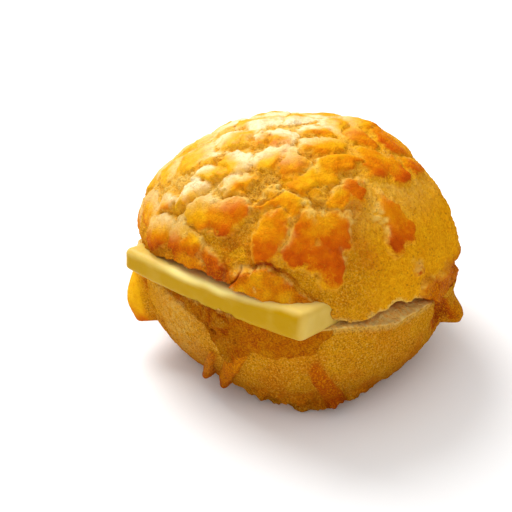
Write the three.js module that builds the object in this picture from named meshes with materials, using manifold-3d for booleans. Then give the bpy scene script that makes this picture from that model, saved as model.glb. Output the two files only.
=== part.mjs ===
// A pineapple bun, slit from the front and filled with a slab of butter.
// Units are millimetres and +Z is up. The slit opens towards -Y, the butter runs along X,
// and the origin is the middle of the flat base.

import * as THREE from "three";
import { mergeVertices } from "three/addons/utils/BufferGeometryUtils.js";
import Module from "manifold-3d";

const wasm = await Module();
wasm.setup();

const { clamp, degToRad, lerp, radToDeg, smoothstep } = THREE.MathUtils;

// Driving dimensions in millimetres, with angles in degrees

// The dough is a squashed ball seen from the middle of its waist. A power of 2 gives an ellipse.
const DOUGH = {
  radius: 54,
  height: 75,
  waist: 33,
  crownPower: 2.15,
  heelPower: 2.5,
  heelDepth: 40.5,
  mouthFlat: 0.15,
  mouthSpread: 36,
};

// Waves that leave the dough uneven, along the direction from its middle
const LUMP_WAVES = [
  { turns: [3.9, 2.1, 0], phase: 1.3, size: 0.4 },
  { turns: [-1.7, 3.3, 2.2], phase: 0.4, size: 0.4 },
  { turns: [5.3, 0, -3.1], phase: 0.9, size: 0.25 },
  { turns: [2.4, -6.1, 2.2], phase: 2.6, size: 0.25 },
];

// Broad bulges and hollows of the dough, each fading over its spread in degrees
const BULGES = [
  { bearing: 50, rise: 27, spread: 18, size: -0.6 },
  { bearing: 72, rise: 56, spread: 16, size: 2.4 },
  { bearing: -160, rise: 42, spread: 20, size: -1.3 },
  { bearing: -134, rise: 18, spread: 13, size: -1.2 },
  { bearing: 34, rise: -3, spread: 9, size: 1.8 },
];

// The slit rises towards the mouth. The crown is turned open about a hinge that stays uncut.
const SLIT = { height: 33, slope: 10, hinge: 26, opening: 7.4 };

// Waves in the slit's faces, along x and y
const SLIT_WAVES = [
  { turns: [0.17, 0.05, 0], phase: 0.6, size: 0.3 },
  { turns: [-0.09, 0.13, 0], phase: 1.1, size: 0.3 },
];

// Where the crown's edge hangs down: over the butter, past its end, and where the slit closes
const DROOPS = [
  { bearing: -95, spread: 20, depth: -0.5 },
  { bearing: -60, spread: 13, depth: 2.6 },
  { bearing: -31.5, spread: 9.5, depth: 5.8 },
  { bearing: 10, spread: 9, depth: 3.4 },
];
const DROOP_REACH = { inner: 38, outer: 48 };

// The slab of butter is thicker at its right end and lies a little into the heel.
// It sags and bows out of the slit halfway along.
const BUTTER = {
  length: 76,
  width: 45,
  thick: 8.8,
  taper: 0.11,
  corner: 0.8,
  bevel: 0.8,
  centreX: 3.6,
  frontY: -46,
  tilt: 11,
  gap: 0.3,
  sink: 1.6,
  sag: 1,
  bow: 1.4,
  steps: 12,
};

// The topping is a thin layer down to a ragged skirt, with plates that stand proud of it.
const TOPPING = {
  layer: 0.9,
  plate: 1.5,
  edgeShare: 0.4,
  crackShare: 0.5,
  skirtRise: 0,
  skirtSoft: 3,
};

// Waves in the skirt's edge, in degrees of rise along its bearing
const SKIRT_WAVES = [
  { turns: [5, 0, 0], phase: 0.5, size: 3 },
  { turns: [11, 0, 0], phase: 2, size: 1.8 },
];

// Waves that bend the plates' outlines so that none is a true ellipse, for each of x, y and z
const OUTLINE_WAVES = [
  [
    { turns: [0, 13, 4], phase: 0, size: 0.015 },
    { turns: [-7, 0, 9], phase: 1, size: 0.015 },
  ],
  [
    { turns: [5, 0, 12], phase: 2, size: 0.015 },
    { turns: [10, 8, 0], phase: 0, size: 0.015 },
  ],
  [
    { turns: [11, -6, 0], phase: 3, size: 0.015 },
    { turns: [0, 14, 3], phase: 0, size: 0.015 },
  ],
];

// Plates that stand out: bearing and rise from the middle of the waist, half width,
// half height and turn. Bearings run from +X towards +Y, so the mouth is at -90.
const CROWN_PLATES = [
  [-43, 30, 8.5, 9, 0],
  [-38, 18, 4.5, 8.5, -3],
  [-61, 28, 5.5, 8.5, 4],
  [-11, 29.5, 6.5, 8, -14],
  [-27, 42.5, 6.5, 5, 5],
  [-40, 46, 4, 4, 8],
  [10, 50, 9, 8.5, -25],
  [34, 65, 5.5, 7.5, -57],
  [54, 48, 12, 8, -15],
  [30, 42, 5.5, 5.5, 0],
  [-24, 58, 7.5, 4.5, 11],
  [-20, 69, 7, 6, -3],
  [26, 81, 6.5, 6, -50],
  [-55, 57, 4, 8.5, 1],
  [-72, 61, 6, 6, 57],
  [-131, 63, 9, 8.5, 100],
  [-107, 71, 5.5, 5, 90],
  [-106, 44, 6, 3.5, 39],
  [-114, 49, 4.5, 3, 54],
  [-108, 34, 6.5, 4, 45],
  [-84, 47, 6.5, 4, 38],
  [-91, 33, 9.5, 6, 22],
  [-121, 27, 6, 3.5, 41],
  [-118, 17, 8.5, 6.5, 23],
  [-105, 17, 4.5, 6, 7],
  [-96, 19, 5, 4.5, 11],
  [-84, 13, 4.5, 7, 47],
  [-65, 41, 4.5, 3, 27],
  [-4, 12, 3, 2, -16],
  [7, 0.5, 9, 5, 0],
];

// Small plates fill the rest of the crown, spread by a golden-angle spiral.
const SCALES = {
  count: 160,
  lowestRise: 4,
  wide: [7.4, 11],
  tall: [5, 7.4],
  turn: 24,
  overlap: 1.05,
};

// Stretches of the crown where the topping stayed smooth
const SMOOTH_PATCHES = [
  { bearing: 18, rise: 9, halfWidth: 62, halfHeight: 30 },
  { bearing: -72, rise: 21, halfWidth: 9, halfHeight: 7 },
  { bearing: -52, rise: 18, halfWidth: 7, halfHeight: 6 },
];

// The flap over the butter stands out below its upper edge, given as bearings and rises.
// It thins out between two bearings.
const FLAP = {
  edge: [
    [-75, 2],
    [-73, 8],
    [-71.5, 14],
    [-66, 15.5],
    [-60, 16.8],
    [-55, 16],
    [-50, 13],
    [-46, 8.5],
    [-42, 2],
  ],
  thick: 3,
  thin: 0.9,
  thinning: [-64, -46],
  soft: 2,
};

// The sheet of glaze on the heel stands out above its lower edge.
const SHEET = {
  edge: [
    [-116, 8],
    [-111, 7],
    [-103, 4.5],
    [-95, 1.5],
    [-88, -1.5],
    [-84, -10],
    [-80, -13],
    [-76, -14],
    [-71, -10],
    [-65, -7],
    [-57, -7],
    [-49, -6],
    [-44, -5],
    [-41, -3],
    [-38, 3],
    [-36, 9],
  ],
  thick: 0.9,
  soft: 2,
};

// Drips of glaze down the heel, along routes of bearings and rises, that swell towards the foot
const DRIPS = [
  { route: [[-87, -15], [-89.5, -25], [-91.5, -31]], topWidth: 1.6, footWidth: 2.4, thick: 4 },
  { route: [[-71, -6], [-77, -18], [-82, -26], [-85, -32]], topWidth: 4, footWidth: 2.4, thick: 3.4 },
  { route: [[-45.5, -9], [-40, -18], [-33.5, -31]], topWidth: 1.8, footWidth: 3.8, thick: 2 },
];
const DRIP_START = 0.35;

// Folds that hang at the two ends of the slit, thickest at the belly
const TONGUES = [
  { bearing: -138, halfWidth: 9, top: 6, belly: -12, bottom: -21, thick: 6 },
  { bearing: 25, halfWidth: 5.5, top: -6, belly: -14.5, bottom: -20, thick: 6.5 },
];
const TONGUE_CURL = 5;

// Facets along each edge of the icosahedron that the dough is drawn from
const CROWN_DETAIL = 24;
const HEEL_DETAIL = 18;
const SLIT_STEPS = 14;
const TOOL_SIZE = 124;

const GOLDEN_ANGLE = Math.PI * (3 - Math.sqrt(5));
const EVEN_STEPS = { wide: 0.7548776662, tall: 0.569840291, turn: 0.4142135624 };
const MIDDLE = new THREE.Vector3(0, 0, DOUGH.waist);

// Vertices closer than this are one vertex
const WELD_GAP = 1e-5;

// A plate is only measured within 60 degrees of its middle, and past that it is far away.
const PLATE_REACH = Math.cos(degToRad(60));
const FAR_AWAY = 99;

// Helpers

function directionOf(bearing, rise) {
  const b = degToRad(bearing);
  const r = degToRad(rise);
  return new THREE.Vector3(Math.cos(r) * Math.cos(b), Math.cos(r) * Math.sin(b), Math.sin(r));
}

function bearingOf({ x, y }) {
  return radToDeg(Math.atan2(y, x));
}

function riseOf({ x, y, z }) {
  return radToDeg(Math.atan2(z, Math.hypot(x, y)));
}

// Degrees from one bearing to another, the short way round
function turnBetween(from, to) {
  return THREE.MathUtils.euclideanModulo(to - from + 180, 360) - 180;
}

function degreesFrom({ bearing, rise }, direction) {
  return radToDeg(direction.angleTo(directionOf(bearing, rise)));
}

// Millimetres on the dough's skin for each degree
const SKIN_DEGREE = degToRad(DOUGH.radius);

// The rise of an edge at a bearing, or null past its ends
function riseAlong(edge, bearing) {
  for (let i = 1; i < edge.length; i++) {
    const [startBearing, startRise] = edge[i - 1];
    const [endBearing, endRise] = edge[i];
    if (bearing >= startBearing && bearing <= endBearing) {
      return lerp(startRise, endRise, (bearing - startBearing) / (endBearing - startBearing));
    }
  }
  return null;
}

// A place on the skin laid flat, in millimetres from a bearing at the waist
function flatPlace(fromBearing, bearing, rise) {
  const across = turnBetween(fromBearing, bearing) * Math.cos(degToRad(rise));
  return new THREE.Vector3(across, rise, 0).multiplyScalar(SKIN_DEGREE);
}

// Millimetres on the skin from a direction to a route of bearings and rises
function routeDistance(route, direction) {
  const [start] = route[0];
  const places = route.map(([bearing, rise]) => flatPlace(start, bearing, rise));
  const spot = flatPlace(start, bearingOf(direction), riseOf(direction));
  const nearest = new THREE.Vector3();
  let best = FAR_AWAY;
  for (let i = 1; i < places.length; i++) {
    new THREE.Line3(places[i - 1], places[i]).closestPointToPoint(spot, true, nearest);
    best = Math.min(best, spot.distanceTo(nearest));
  }
  return best;
}

function bell(value, spread) {
  return Math.exp(-((value / spread) ** 2));
}

// A value from 0 to 1 that is spread evenly as the index grows
function spreadEvenly(index, step) {
  return (0.5 + index * step) % 1;
}

function waveSum(waves, x, y, z) {
  let sum = 0;
  for (const { turns, phase, size } of waves) {
    sum += size * Math.sin(turns[0] * x + turns[1] * y + turns[2] * z + phase);
  }
  return sum;
}

// Solids

function weld(geometry) {
  geometry.deleteAttribute("normal");
  geometry.deleteAttribute("uv");
  return mergeVertices(geometry, WELD_GAP);
}

function solidOf(geometry) {
  const vertProperties = new Float32Array(geometry.attributes.position.array);
  const triVerts = new Uint32Array(geometry.index.array);
  return new wasm.Manifold(new wasm.Mesh({ numProp: 3, vertProperties, triVerts }));
}

function geometryOf(solid) {
  const mesh = solid.getMesh();
  const geometry = new THREE.BufferGeometry();
  geometry.setAttribute("position", new THREE.BufferAttribute(mesh.vertProperties, mesh.numProp));
  geometry.setIndex(new THREE.BufferAttribute(mesh.triVerts, 1));
  geometry.computeVertexNormals();
  return geometry;
}

// Dough

function doughRadius(direction) {
  const offMouth = turnBetween(-90, bearingOf(direction));
  const plan = DOUGH.radius * (1 - DOUGH.mouthFlat * bell(offMouth, DOUGH.mouthSpread));
  const above = direction.z > 0;
  const power = above ? DOUGH.crownPower : DOUGH.heelPower;
  const depth = above ? DOUGH.height - DOUGH.waist : DOUGH.heelDepth;
  const across = (Math.hypot(direction.x, direction.y) / plan) ** power;
  const along = (Math.abs(direction.z) / depth) ** power;
  let lumps = waveSum(LUMP_WAVES, direction.x, direction.y, direction.z);
  for (const bulge of BULGES) lumps += bulge.size * bell(degreesFrom(bulge, direction), bulge.spread);
  return (across + along) ** (-1 / power) + lumps;
}

// Topping

function plateFrom([bearing, rise, wide, tall, turn]) {
  const middle = directionOf(bearing, rise);
  const east = directionOf(bearing + 90, 0);
  const north = new THREE.Vector3().crossVectors(middle, east);
  const radius = doughRadius(middle);
  return { middle, east, north, radius, wide, tall, turn: degToRad(turn) };
}

// How far a direction is from a plate's middle, where 1 is the plate's edge
function plateDistance(plate, direction) {
  const ahead = direction.dot(plate.middle);
  if (ahead < PLATE_REACH) return FAR_AWAY;
  const x = (direction.dot(plate.east) / ahead) * plate.radius;
  const y = (direction.dot(plate.north) / ahead) * plate.radius;
  const cos = Math.cos(plate.turn);
  const sin = Math.sin(plate.turn);
  return Math.hypot((x * cos + y * sin) / plate.wide, (y * cos - x * sin) / plate.tall);
}

function inSmoothPatch(direction) {
  return SMOOTH_PATCHES.some(({ bearing, rise, halfWidth, halfHeight }) => {
    const across = turnBetween(bearing, bearingOf(direction)) / halfWidth;
    const up = (riseOf(direction) - rise) / halfHeight;
    return Math.hypot(across, up) < 1;
  });
}

function scalePlates(taken) {
  const plates = [];
  for (let i = 0; i < SCALES.count; i++) {
    const rise = radToDeg(Math.asin(1 - (2 * i + 1) / SCALES.count));
    const bearing = radToDeg(i * GOLDEN_ANGLE);
    const direction = directionOf(bearing, rise);
    const covered = taken.some((plate) => plateDistance(plate, direction) < SCALES.overlap);
    if (rise < SCALES.lowestRise || covered || inSmoothPatch(direction)) continue;
    const wide = lerp(...SCALES.wide, spreadEvenly(i, EVEN_STEPS.wide));
    const tall = lerp(...SCALES.tall, spreadEvenly(i, EVEN_STEPS.tall));
    const turn = lerp(-SCALES.turn, SCALES.turn, spreadEvenly(i, EVEN_STEPS.turn));
    plates.push(plateFrom([bearing, rise, wide, tall, turn]));
  }
  return plates;
}

function bentOutline({ x, y, z }) {
  const [bendX, bendY, bendZ] = OUTLINE_WAVES.map((waves) => waveSum(waves, x, y, z));
  return new THREE.Vector3(x + bendX, y + bendY, z + bendZ).normalize();
}

// Height of the plates: 0 in the cracks between them and full on their backs
function plateHeight(direction) {
  const bent = bentOutline(direction);
  let nearest = FAR_AWAY;
  let next = FAR_AWAY;
  for (const plate of crownPlates) {
    const distance = plateDistance(plate, bent);
    if (distance < nearest) {
      next = nearest;
      nearest = distance;
    } else if (distance < next) {
      next = distance;
    }
  }
  const fromEdge = (1 - nearest) / TOPPING.edgeShare;
  const fromCrack = (next - nearest) / TOPPING.crackShare;
  return TOPPING.plate * smoothstep(Math.min(fromEdge, fromCrack), 0, 1);
}

function layerHeight(direction) {
  const edge = TOPPING.skirtRise + waveSum(SKIRT_WAVES, degToRad(bearingOf(direction)), 0, 0);
  return TOPPING.layer * smoothstep(riseOf(direction), edge, edge + TOPPING.skirtSoft);
}

const bigPlates = CROWN_PLATES.map(plateFrom);
const crownPlates = bigPlates.concat(scalePlates(bigPlates));

function flapHeight(direction) {
  const bearing = bearingOf(direction);
  const top = riseAlong(FLAP.edge, bearing);
  if (top === null) return 0;
  const thick = lerp(FLAP.thick, FLAP.thin, smoothstep(bearing, ...FLAP.thinning));
  return thick * smoothstep((top - riseOf(direction)) * SKIN_DEGREE, 0, FLAP.soft);
}

function crownRelief(direction) {
  return layerHeight(direction) + Math.max(plateHeight(direction), flapHeight(direction));
}

// Glaze and folds of the heel

function sheetHeight(direction) {
  const lowest = riseAlong(SHEET.edge, bearingOf(direction));
  if (lowest === null) return 0;
  return SHEET.thick * smoothstep((riseOf(direction) - lowest) * SKIN_DEGREE, 0, SHEET.soft);
}

// The height of a round ridge of the given half width
function ridge(away, halfWidth, thick) {
  return away < halfWidth ? thick * Math.sqrt(1 - (away / halfWidth) ** 2) : 0;
}

function dripHeight({ route, topWidth, footWidth, thick }, direction) {
  const [, top] = route[0];
  const [, foot] = route[route.length - 1];
  const down = clamp((top - riseOf(direction)) / (top - foot), 0, 1);
  const away = routeDistance(route, direction);
  return ridge(away, lerp(topWidth, footWidth, down), thick * lerp(DRIP_START, 1, down));
}

function tongueHeight({ bearing, halfWidth, top, belly, bottom, thick }, direction) {
  const rise = riseOf(direction);
  const hang = smoothstep(rise, bottom, bottom + TONGUE_CURL) * (1 - smoothstep(rise, belly, top));
  const away = Math.abs(turnBetween(bearing, bearingOf(direction))) * SKIN_DEGREE;
  return hang * ridge(away, halfWidth, thick);
}

function heelRelief(direction) {
  let glaze = sheetHeight(direction);
  for (const drip of DRIPS) glaze = Math.max(glaze, dripHeight(drip, direction));
  for (const tongue of TONGUES) glaze += tongueHeight(tongue, direction);
  return layerHeight(direction) + glaze;
}

// The whole bun's closed surface, before it is slit
function bunSurface(detail, relief) {
  const geometry = weld(new THREE.IcosahedronGeometry(1, detail));
  const points = geometry.attributes.position;
  const point = new THREE.Vector3();
  for (let i = 0; i < points.count; i++) {
    const direction = point.fromBufferAttribute(points, i).normalize().clone();
    point.multiplyScalar(doughRadius(direction) + relief(direction)).add(MIDDLE);
    points.setXYZ(i, point.x, point.y, point.z);
  }
  return geometry;
}

// Slit

function slitHeight(x, y) {
  return SLIT.height - y * Math.tan(degToRad(SLIT.slope)) + waveSum(SLIT_WAVES, x, y, 0);
}

function droop(x, y) {
  let depth = 0;
  for (const { bearing, spread, depth: deepest } of DROOPS) {
    depth += deepest * bell(turnBetween(bearing, bearingOf({ x, y })), spread);
  }
  return depth * smoothstep(Math.hypot(x, y), DROOP_REACH.inner, DROOP_REACH.outer);
}

// A block whose bottom or top face follows the slit
function slitTool(side, heightAt) {
  const geometry = weld(
    new THREE.BoxGeometry(TOOL_SIZE, TOOL_SIZE, TOOL_SIZE, SLIT_STEPS, SLIT_STEPS, 1),
  );
  const points = geometry.attributes.position;
  for (let i = 0; i < points.count; i++) {
    const onSlit = Math.sign(points.getZ(i)) !== side;
    points.setZ(i, onSlit ? heightAt(points.getX(i), points.getY(i)) : side * TOOL_SIZE);
  }
  return geometry;
}

// Turns the crown open about the hinge
function openingTurn() {
  const hinge = new THREE.Vector3(0, SLIT.hinge, slitHeight(0, SLIT.hinge));
  return new THREE.Matrix4()
    .makeTranslation(hinge)
    .multiply(new THREE.Matrix4().makeRotationX(-degToRad(SLIT.opening)))
    .multiply(new THREE.Matrix4().makeTranslation(hinge.clone().negate()));
}

// Pieces

function crownSolid() {
  const opened = openingTurn();
  const whole = bunSurface(CROWN_DETAIL, crownRelief).applyMatrix4(opened);
  const below = slitTool(-1, (x, y) => slitHeight(x, y) - droop(x, y)).applyMatrix4(opened);
  return solidOf(whole).subtract(solidOf(below));
}

function heelSolid() {
  const whole = bunSurface(HEEL_DETAIL, heelRelief);
  const above = slitTool(1, slitHeight);
  return solidOf(whole).subtract(solidOf(above));
}

// A slab with softened edges, grown by the given amount on every side
function butterGeometry(grow) {
  const low = BUTTER.bevel - grow;
  const back = BUTTER.width - low;
  const top = BUTTER.thick - low;
  const corner = BUTTER.corner;
  const section = new THREE.Shape();
  section.moveTo(low + corner, low);
  section.absarc(back - corner, low + corner, corner, -Math.PI / 2, 0);
  section.absarc(back - corner, top - corner, corner, 0, Math.PI / 2);
  section.absarc(low + corner, top - corner, corner, Math.PI / 2, Math.PI);
  section.absarc(low + corner, low + corner, corner, Math.PI, 1.5 * Math.PI);
  const along = BUTTER.length - 2 * low;
  const geometry = new THREE.ExtrudeGeometry(section, {
    depth: along,
    steps: BUTTER.steps,
    bevelSize: BUTTER.bevel,
    bevelThickness: BUTTER.bevel,
    bevelSegments: 2,
    curveSegments: 3,
  });
  geometry.translate(0, 0, -along / 2);
  geometry.rotateX(Math.PI / 2).rotateZ(Math.PI / 2);
  const points = geometry.attributes.position;
  for (let i = 0; i < points.count; i++) {
    const share = points.getX(i) / (BUTTER.length / 2);
    const middling = 1 - share ** 2;
    const lift = points.getZ(i) * (1 + BUTTER.taper * share);
    points.setY(i, points.getY(i) - BUTTER.bow * middling);
    points.setZ(i, lift - BUTTER.sag * middling - BUTTER.sink);
  }
  geometry.rotateX(-degToRad(BUTTER.tilt));
  geometry.translate(BUTTER.centreX, BUTTER.frontY, slitHeight(0, BUTTER.frontY) + BUTTER.gap);
  return weld(geometry);
}

function groundTool() {
  const geometry = weld(new THREE.BoxGeometry(TOOL_SIZE, TOOL_SIZE, TOOL_SIZE));
  return geometry.translate(0, 0, -TOOL_SIZE / 2);
}

function bunSolid() {
  const bun = heelSolid().add(crownSolid());
  return bun.subtract(solidOf(butterGeometry(BUTTER.gap))).subtract(solidOf(groundTool()));
}

function namedMesh(name, geometry, color, roughness) {
  const mesh = new THREE.Mesh(
    geometry,
    new THREE.MeshStandardMaterial({ color, roughness, metalness: 0 }),
  );
  mesh.name = name;
  return mesh;
}

const pineappleBun = new THREE.Group();
pineappleBun.add(namedMesh("bun", geometryOf(bunSolid()), 0xd9982b, 0.6));
pineappleBun.add(namedMesh("butter", butterGeometry(0), 0xf1dd7c, 0.35));

export default pineappleBun;
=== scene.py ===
"""A pineapple bun, slit from the front and filled with a slab of butter, on a plain pale floor.

Shapes are worked out in millimetres in the part's own frame and stored in metres.
The slit opens towards -Y, the butter runs along X, and the origin is the middle of the flat base.
"""

import math
from types import SimpleNamespace as Values

import bmesh
import bpy
import numpy as np
from mathutils import Matrix, Vector


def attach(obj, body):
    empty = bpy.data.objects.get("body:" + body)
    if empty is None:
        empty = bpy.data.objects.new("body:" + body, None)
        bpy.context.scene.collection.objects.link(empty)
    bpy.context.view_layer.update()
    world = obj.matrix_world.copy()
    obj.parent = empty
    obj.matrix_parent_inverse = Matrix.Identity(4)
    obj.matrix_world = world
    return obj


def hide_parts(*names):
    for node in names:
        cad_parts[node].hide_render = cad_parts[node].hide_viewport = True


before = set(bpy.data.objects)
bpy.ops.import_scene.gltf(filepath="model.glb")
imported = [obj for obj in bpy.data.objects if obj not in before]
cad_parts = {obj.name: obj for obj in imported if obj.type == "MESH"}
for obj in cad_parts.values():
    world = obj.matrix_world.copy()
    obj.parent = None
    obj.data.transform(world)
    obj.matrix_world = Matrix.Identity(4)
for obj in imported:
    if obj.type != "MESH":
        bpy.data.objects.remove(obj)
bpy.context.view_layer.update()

MM = 0.001

# Form of the dough, as in the solid: a squashed ball seen from the middle of its waist

DOUGH = Values(
    radius=54,
    height=75,
    waist=33,
    crown_power=2.15,
    heel_power=2.5,
    heel_depth=40.5,
    mouth_bearing=-90,
    mouth_flat=0.15,
    mouth_spread=36,
)
MIDDLE = np.array([0, 0, DOUGH.waist], float)
SKIN_DEGREE = math.radians(DOUGH.radius)

# Waves are (turns along x, y and z, phase, size)
LUMP_WAVES = [
    ((3.9, 2.1, 0), 1.3, 0.4),
    ((-1.7, 3.3, 2.2), 0.4, 0.4),
    ((5.3, 0, -3.1), 0.9, 0.25),
    ((2.4, -6.1, 2.2), 2.6, 0.25),
]
# Broad bulges and hollows: bearing, rise, spread in degrees and size
BULGES = [
    (50, 27, 18, -0.6),
    (72, 56, 16, 2.4),
    (-160, 42, 20, -1.3),
    (-134, 18, 13, -1.2),
    (34, -3, 9, 1.8),
]

SLIT_WAVES = [((0.17, 0.05, 0), 0.6, 0.3), ((-0.09, 0.13, 0), 1.1, 0.3)]
SKIRT_WAVES = [((5, 0, 0), 0.5, 3), ((11, 0, 0), 2, 1.8)]
OUTLINE_WAVES = [
    [((0, 13, 4), 0, 0.015), ((-7, 0, 9), 1, 0.015)],
    [((5, 0, 12), 2, 0.015), ((10, 8, 0), 0, 0.015)],
    [((11, -6, 0), 3, 0.015), ((0, 14, 3), 0, 0.015)],
]

SLIT = Values(height=33, slope=10, hinge=26, opening=7.4)

# Where the crown's edge hangs down: bearing, spread and depth
DROOPS = [(-122, 17, 3.6), (-86, 12, 0.5), (-60, 13, 2.6), (-31.5, 9.5, 6.4), (10, 9, 3.4)]
DROOP_REACH = (38, 48)
# Where the heel's rim is broken down to bare crumb: bearing, spread, depth and how far out
BEVEL = Values(bearing=-13, spread=12, depth=2, reach=(47.5, 53))

BUTTER = Values(
    length=76,
    width=45,
    thick=8.8,
    taper=0.11,
    centre_x=3.6,
    front_y=-46,
    tilt=11,
    gap=0.3,
    sink=1.6,
    sag=1,
    bow=1.4,
)
BUTTER_ROUND = 2.4
# The slot is cut a little smaller than the butter, so that no gap shows
SLOT_GAP = -0.25
SLOT_STEP = 1.5
SLAB_STEP = 0.8
BUTTER_DENTS = 0.15
# How much painted light the butter's faces get: the top most in the middle, where the crown shades it,
# and the ends and the foot less; the ends as left and right
BUTTER_PAINTED_LIGHT = Values(lean=0.15, left=0.32, right_drop=0.5, ends=(0.45, 0.27), foot=0.16)
TOPPING = Values(layer=0.9, plate=1.5, skirt_rise=0, skirt_soft=3)

# Plates of topping, each made of blobs: bearing, rise, half width, half height, turn and browning
CROWN_PLATES = [
    [
        (-46, 32, 4, 7.5, -13, 0.46),
        (-38, 30, 6, 7.5, -3, 0.62),
        (-38, 18, 4.5, 8.5, -3, 0.8),
        (-51, 24, 6, 5, 20, 0.7),
        (-43.5, 22, 5, 5.5, 0, 0.72),
    ],
    [(-61, 30, 5.5, 6.5, 4, 0.35), (-60, 24, 4.5, 5.5, 6, 0.6)],
    [(-7, 30.5, 3.8, 8, 14, 0.5), (-12, 26, 4.2, 6, 6, 0.65), (-13.5, 23.5, 4.2, 5.5, -8, 0.8)],
    [(-30, 42, 4.5, 4.5, 13, 0.35), (-23, 43, 3.5, 5.5, -10, 0.65)],
    [(-40, 46, 4, 4, 8, 0.35)],
    [(6, 54, 6.5, 9, -25, 0.4), (16, 46, 6, 7, -25, 0.55)],
    [(34, 65, 5.5, 7.5, -57, 0.3)],
    [(54, 48, 8, 12, -105, 0.3)],
    [(30, 42, 5.5, 5.5, -51, 0.45)],
    [(-24, 58, 7.5, 4.5, 11, 0.3)],
    [(-20, 69, 7, 6, -3, 0.2)],
    [(26, 81, 6.5, 6, -50, 0.25)],
    [(-55, 57, 4, 8.5, 1, 0.25)],
    [(-72, 61, 6, 6, 57, 0.1)],
    [(-131, 63, 9, 8.5, 100, 0.1)],
    [(-107, 71, 5.5, 5, 90, 0.5)],
    [(-106, 44, 6, 3.5, 39, 0.3)],
    [(-114, 49, 4.5, 3, 54, 0.1)],
    [(-108, 34, 6.5, 4, 45, 0.15)],
    [(-84, 47, 6.5, 4, 38, 0.25)],
    [(-97, 32, 6.5, 5.5, 32, 0.35), (-85, 34, 6.5, 6, 12, 0.7)],
    [(-121, 27, 6, 3.5, 41, 0.5)],
    [(-118, 17, 8.5, 6.5, 23, 0.2)],
    [(-105, 17, 4.5, 6, 7, 0.25)],
    [(-96, 19, 5, 4.5, 11, 0.25)],
    [(-84, 13, 4.5, 7, 47, 0.45)],
    [(-65, 41, 4.5, 3, 27, 0.35)],
    [(-4, 12, 3, 2, -16, 0.75)],
    [(10, -0.5, 8, 5, 0, 0.6), (1, 3, 5, 4, 0, 0.5)],
]
SCALES = Values(
    count=160,
    lowest_rise=4,
    wide=(7.4, 11),
    tall=(5, 7.4),
    turn=24,
    overlap=1.05,
    tone=(0.05, 0.35),
)

# Stretches where the topping stayed smooth: bearing, rise, half width and half height in degrees
SMOOTH_PATCHES = [(18, 9, 62, 30), (-72, 21, 9, 7), (-52, 18, 7, 6)]

# The flap over the butter: how high it reaches at each bearing
FLAP_EDGE = [
    (-75, 2), (-73, 8), (-71.5, 14), (-66, 15.5), (-60, 16.8),
    (-55, 16), (-50, 13), (-46, 8.5), (-42, 2),
]
FLAP = Values(thick=3, thin=0.9, soft=1.4, tone=0.36)

# Creases on the heel, as points of bearing and rise, and the half width of each; they are pressed in,
# and their darkening is painted shade
HEEL_CREASE = [(-116, 8), (-111.6, 6.4), (-103, 4.5), (-95, 1.5), (-83.6, -2.5)]
TONGUE_CREASE = [(-131, 2), (-128, -9), (-121, -14), (-118, -21)]
CORNER_CREASE = [(12, -5), (14, -9), (17, -14)]
CREASES = [(HEEL_CREASE, 1.1), (TONGUE_CREASE, 1.1), (CORNER_CREASE, 2.4)]

# The edge of crust that stands up on the crown's right side
STRIP = [(26, 30), (22, 18), (23, 10), (25, 6)]
# The tear under its lower end
NOTCH = [(24, 1), (30, 0.5), (38, -1)]

# The sheet of glaze under the butter: how low it reaches at each bearing
SHEET_EDGE = [
    (-116, 8), (-111, 7), (-103, 4.5), (-95, 1.5), (-88, -1.5), (-84, -10), (-80, -13), (-76, -14),
    (-71, -10), (-65, -7), (-57, -7), (-49, -6), (-44, -5), (-41, -3), (-38, 3), (-36, 9),
]
# The sheet's thickness, softness and tones; its deepening towards the butter is painted shade
SHEET = Values(thick=0.9, soft=1.3, tone=0.31, deepen=0.1, lumps=0.1, streaks=0.12)

# Drips of glaze: route, half width at its top and at its foot, thickness and browning
DRIPS = [
    ([(-86, -15), (-90.5, -24), (-94.5, -30)], 1.6, 2.4, 4, 0.45),
    ([(-71, -6), (-77, -18), (-82, -26), (-85, -32)], 4, 2.4, 3.4, 0.42),
    ([(-43.4, -9), (-41.4, -16), (-38.2, -23), (-34.4, -32)], 3, 3.8, 2, 0.72),
]

# Folds that hang at the two ends of the slit, thickest at the belly
LEFT_TONGUE = Values(bearing=-139, half_width=8.5, top=6, belly=-14, bottom=-24, thick=7.6)
RIGHT_TONGUE = Values(bearing=25, half_width=5.5, top=-9, belly=-16, bottom=-21.5, thick=6.5)
TONGUE_CURL = 4
TONGUE_POINT = 4
TONGUE_FOOT = Values(below=2, above=4, tone=0.7)
RIGHT_TONGUE_TONE = 0.25
# The hollow beside the right fold, pressed in and painted dark as painted shade
HOLLOW = Values(
    bearing=16,
    spread=7,
    bottom=-20,
    top=-5,
    bottom_soft=6,
    top_soft=3,
    wander=1.2,
    depth=1.2,
    tone=0.95,
)

# Crumbs along the foot of the heel, which stay under a rise
FLANGE = Values(bearing=-46, spread=30, rise=-27, thick=2.6, soft=3)
# The pale stretch of the heel under the left of the slit
PALE = Values(bearing=-104, spread=14)

GOLDEN_ANGLE = math.pi * (3 - math.sqrt(5))
EVEN_STEPS = Values(wide=0.7548776662, tall=0.569840291, turn=0.4142135624)
PLATE_REACH = math.cos(math.radians(32))
# How softly blobs of a plate blend, and the most that a place on a plate counts as up or down
BLOB_BLEND = 0.6
MOST_UP = 1.2
FAR_AWAY = 99
TINY = 1e-9

# The side of the crown that faces the window, where the egg wash is glossiest and where colours are
# painted lighter as painted light
LIT_SIDE = np.array([-0.62, -0.1, 0.78])

# Sizes of the meshes and of the blocks that cut them, in millimetres, and the most triangles of a piece
BALL_STEPS = 7
SLIT_STEP = 1.5
TOOL_SIZE = 124
CROWN_GRAIN = 0.4
HEEL_GRAIN = 0.5
MOST_TRIANGLES = 190000

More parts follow.
